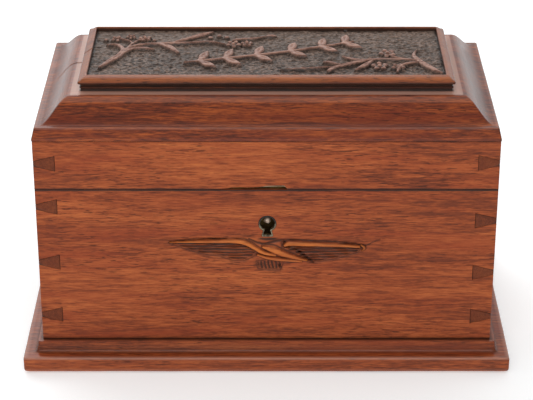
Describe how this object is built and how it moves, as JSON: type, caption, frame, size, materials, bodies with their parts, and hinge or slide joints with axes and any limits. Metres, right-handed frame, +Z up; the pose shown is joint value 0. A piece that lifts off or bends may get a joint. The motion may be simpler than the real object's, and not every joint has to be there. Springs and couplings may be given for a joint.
{
  "type": "tea caddy",
  "caption": "Dovetailed mahogany tea caddy with a moulded base, a hinged ogee-moulded lid with a carved tray top, a box lock and lined compartments under lift-out lids.",
  "frame": {"origin": "middle of the underside of the base board", "axes": "+Z up; -Y out of the keyhole side; +X to the right of someone who faces the keyhole; the lid's hinges are along the back, at +Y"},
  "size_m": [0.282, 0.1544, 0.1698],
  "materials": {
    "mahogany": "satin waxed",
    "carved_mahogany": "satin waxed",
    "inner_wood": "matt",
    "turned_wood": "polished",
    "brass": "aged",
    "steel": "dull",
    "tea_lead": "dull grey foil",
    "paper_lining": "matt"
  },
  "bodies": {
    "body": {"base_board": "mahogany", "front_board": "mahogany", "back_board": "mahogany", "left_board": "mahogany", "right_board": "mahogany", "partition": "inner_wood", "left_front_ledge": "inner_wood", "left_back_ledge": "inner_wood", "right_front_ledge": "inner_wood", "right_back_ledge": "inner_wood", "keyhole_escutcheon": "brass", "lock_plate": "brass", "lock_cap": "brass", "lock_screw_1": "brass", "lock_screw_2": "brass", "lock_screw_3": "brass", "lock_screw_4": "brass", "left_hinge_body_leaf": "brass", "right_hinge_body_leaf": "brass", "left_hinge_body_screw_1": "brass", "left_hinge_body_screw_2": "brass", "right_hinge_body_screw_1": "brass", "right_hinge_body_screw_2": "brass", "lock_key_pin": "steel", "lock_spring": "steel", "left_hinge_pin": "steel", "right_hinge_pin": "steel", "base_screw_1": "steel", "base_screw_2": "steel", "base_screw_3": "steel", "base_screw_4": "steel", "base_screw_5": "steel", "base_screw_6": "steel", "left_tea_lining": "tea_lead", "right_tea_lining": "tea_lead"},
    "lid": {"lid_front_board": "mahogany", "lid_back_board": "mahogany", "lid_left_board": "mahogany", "lid_right_board": "mahogany", "lid_top_board": "carved_mahogany", "lid_lining": "paper_lining", "lid_link_plate": "brass", "link_plate_screw_1": "brass", "link_plate_screw_2": "brass", "left_hinge_lid_leaf": "brass", "right_hinge_lid_leaf": "brass", "left_hinge_lid_screw_1": "brass", "left_hinge_lid_screw_2": "brass", "right_hinge_lid_screw_1": "brass", "right_hinge_lid_screw_2": "brass"},
    "bolt": {"lock_bolt": "brass"},
    "left_inner_lid": {"left_tea_lid": "inner_wood", "left_tea_lid_knob": "turned_wood"},
    "right_inner_lid": {"right_tea_lid": "inner_wood", "right_tea_lid_knob": "turned_wood"}
  },
  "joints": [
    {"name": "lid_hinge", "type": "hinge", "parent": "body", "child": "lid", "pos_m": [0, 0.06885, 0.11298], "axis": [-1, 0, 0], "range_deg": [0, 95]},
    {"name": "bolt_throw", "type": "slide", "parent": "body", "child": "bolt", "axis": [1, 0, 0], "range_m": [0, 0.005]},
    {"name": "left_tea_lid_lift", "type": "slide", "parent": "body", "child": "left_inner_lid", "axis": [0, 0, 1], "range_m": [0, 0.038]},
    {"name": "right_tea_lid_lift", "type": "slide", "parent": "body", "child": "right_inner_lid", "axis": [0, 0, 1], "range_m": [0, 0.038]}
  ]
}
